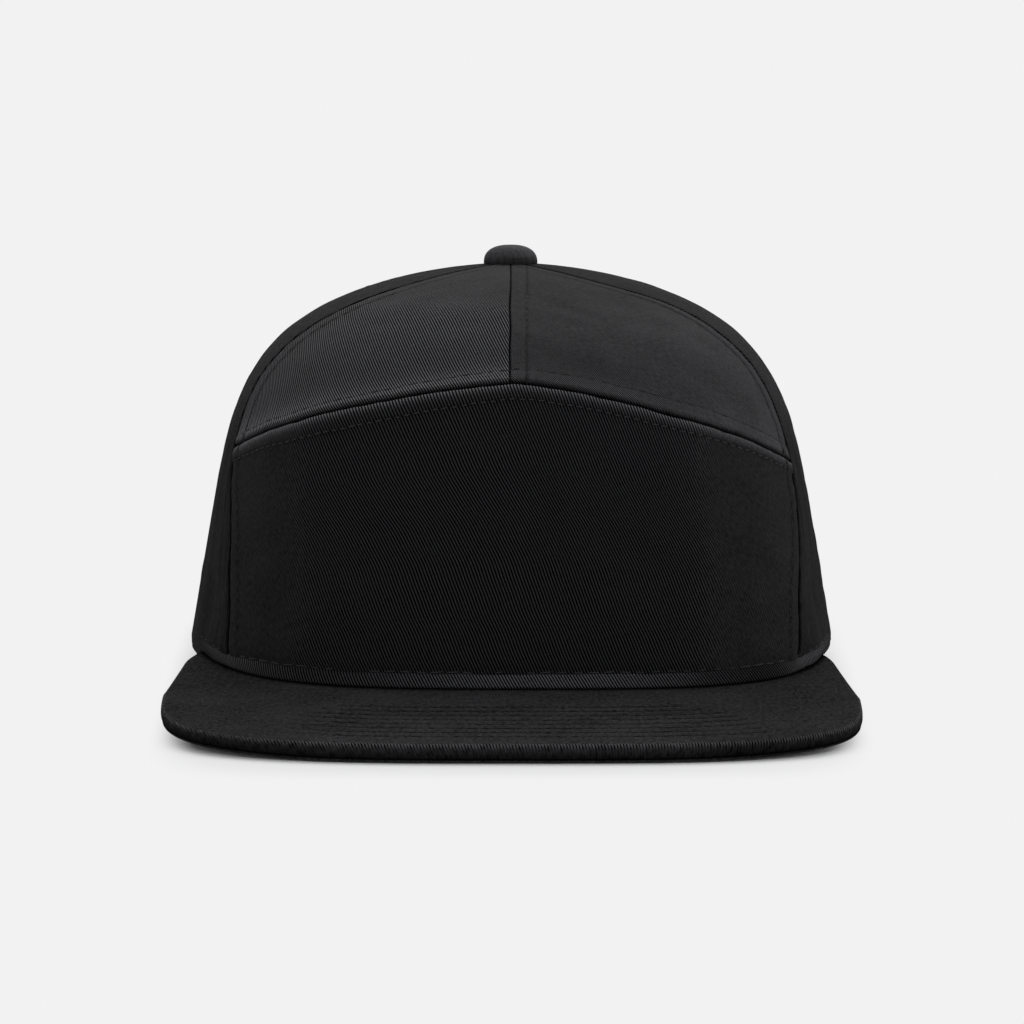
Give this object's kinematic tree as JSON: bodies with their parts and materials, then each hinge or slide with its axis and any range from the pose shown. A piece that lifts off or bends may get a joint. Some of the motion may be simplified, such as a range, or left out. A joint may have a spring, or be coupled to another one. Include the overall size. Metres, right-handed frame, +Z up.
{
  "type": "seven-panel snapback cap",
  "caption": "High-crowned cap of sewn twill panels with an arched seam across the front, a flat visor, a cloth button and a snap closure in a half-moon opening.",
  "frame": {"origin": "middle of the cap's footprint, on the ground that the rear rim and the visor's front edge stand on", "axes": "+Z up, -Y the way the visor points, -X the left side as the picture shows it"},
  "size_m": [0.1802, 0.2632, 0.1142],
  "materials": {
    "twill": "woven cotton twill, black, soft sheen",
    "sweatband_cloth": "plain woven cotton, black, matte",
    "strap_plastic": "moulded, satin black"
  },
  "bodies": {
    "root": {"front_panel": "twill", "upper_front_panel_left": "twill", "upper_front_panel_right": "twill", "side_panel_left": "twill", "side_panel_right": "twill", "back_panel_left": "twill", "back_panel_right": "twill", "visor": "twill", "button": "twill", "sweatband": "sweatband_cloth", "strap_with_holes": "strap_plastic", "strap_with_studs": "strap_plastic"}
  },
  "joints": []
}
